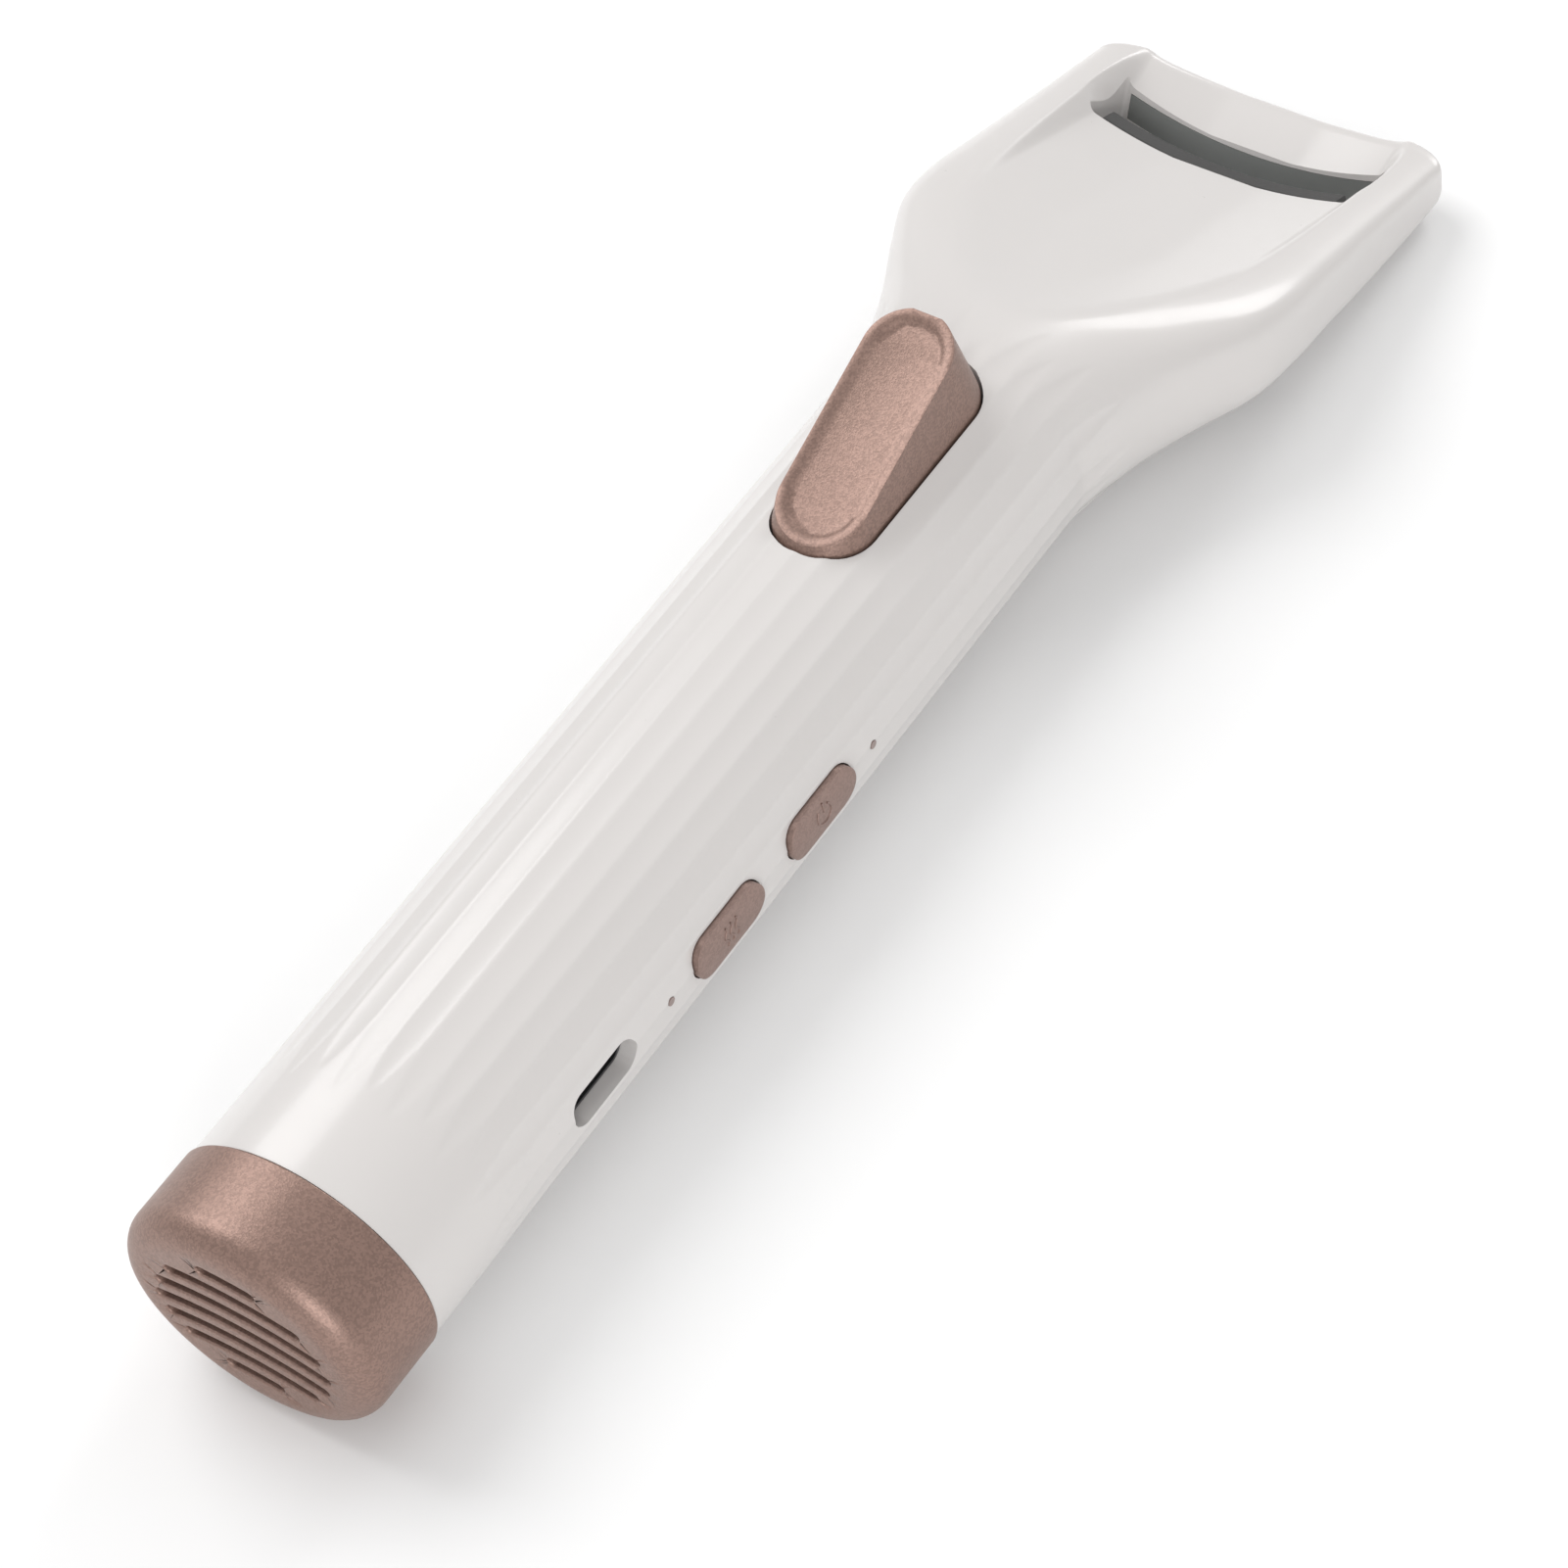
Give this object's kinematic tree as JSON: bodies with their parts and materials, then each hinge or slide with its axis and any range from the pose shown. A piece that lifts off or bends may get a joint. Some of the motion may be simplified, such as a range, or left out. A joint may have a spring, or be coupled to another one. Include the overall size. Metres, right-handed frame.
{
  "type": "heated eyelash curler",
  "caption": "Rechargeable heated eyelash curler with a thumb lever that slides a silicone-edged jaw toward a curved fixed jaw.",
  "frame": {"origin": "bottom centre of the whole tool, lying on its back on a table", "axes": "+Y from the flat tail cap toward the tip, +Z out of the lever side, +X toward the side with port and buttons"},
  "size_m": [0.0423, 0.176, 0.0325],
  "materials": {
    "body_white": "warm white, smooth gloss",
    "rose_gold": "rose gold paint with fine flake, satin",
    "button_rose": "rose gold paint, satin",
    "black_mesh": "woven dust screen",
    "steel": "ground pins",
    "spring_steel": "spring wire",
    "carriage_nylon": "heat resistant nylon",
    "aluminium": "extruded",
    "heater_ceramic": "insulated heater parts",
    "dark_silicone": "soft matt silicone",
    "jaw_grey": "soft matt grey facing",
    "black_plastic": "moulded black",
    "light_pipe": "clear to milky pipe",
    "led_white": "small lamp",
    "port_steel": "drawn shell",
    "board_green": "fibreglass board",
    "battery_wrap": "shrink wrap",
    "nickel": "nickel strip",
    "foam": "closed cell foam",
    "screw_steel": "zinc plated"
  },
  "bodies": {
    "housing": {"front_housing": "body_white", "back_cover": "body_white", "end_cap": "rose_gold", "dust_screen": "black_mesh", "lever_pin": "steel", "lever_spring": "spring_steel", "fixed_jaw_strip": "jaw_grey", "guide_rods": "steel", "return_spring_left": "spring_steel", "return_spring_right": "spring_steel", "power_switch": "black_plastic", "temperature_switch": "black_plastic", "light_pipes": "light_pipe", "charge_led": "led_white", "heat_led": "led_white", "usb_c_port": "port_steel", "circuit_board": "board_green", "controller_chip": "black_plastic", "battery": "battery_wrap", "battery_tabs": "nickel", "battery_cushion": "foam", "housing_screws": "screw_steel", "board_screws": "screw_steel"},
    "lever": {"thumb_lever": "rose_gold", "cam_pin": "steel"},
    "jaw": {"jaw_carriage": "carriage_nylon", "heater_bar": "aluminium", "ptc_heater": "heater_ceramic", "thermistor": "heater_ceramic", "silicone_pad": "dark_silicone"},
    "power_key": {"power_button": "button_rose"},
    "temperature_key": {"temperature_button": "button_rose"}
  },
  "joints": [
    {"name": "lever_press", "type": "hinge", "parent": "housing", "child": "lever", "pos_m": [0, -0.00004, 0.01942], "axis": [-1, 0, 0], "range_deg": [0, 12], "stiffness_Nm_per_rad": 0.08, "deforming": ["lever_spring"]},
    {"name": "jaw_slide", "type": "slide", "parent": "housing", "child": "jaw", "axis": [0, 0.9239, -0.3827], "range_m": [0, 0.00501], "deforming": ["return_spring_left", "return_spring_right"]},
    {"name": "power_press", "type": "slide", "parent": "housing", "child": "power_key", "axis": [-1, 0, 0], "range_m": [0, 0.0004], "stiffness_N_per_m": 800},
    {"name": "temperature_press", "type": "slide", "parent": "housing", "child": "temperature_key", "axis": [-1, 0, 0], "range_m": [0, 0.0004], "stiffness_N_per_m": 800}
  ],
  "couplings": [
    {"joint": "jaw_slide", "follows": "lever_press", "m_per_rad": 0.023873}
  ]
}
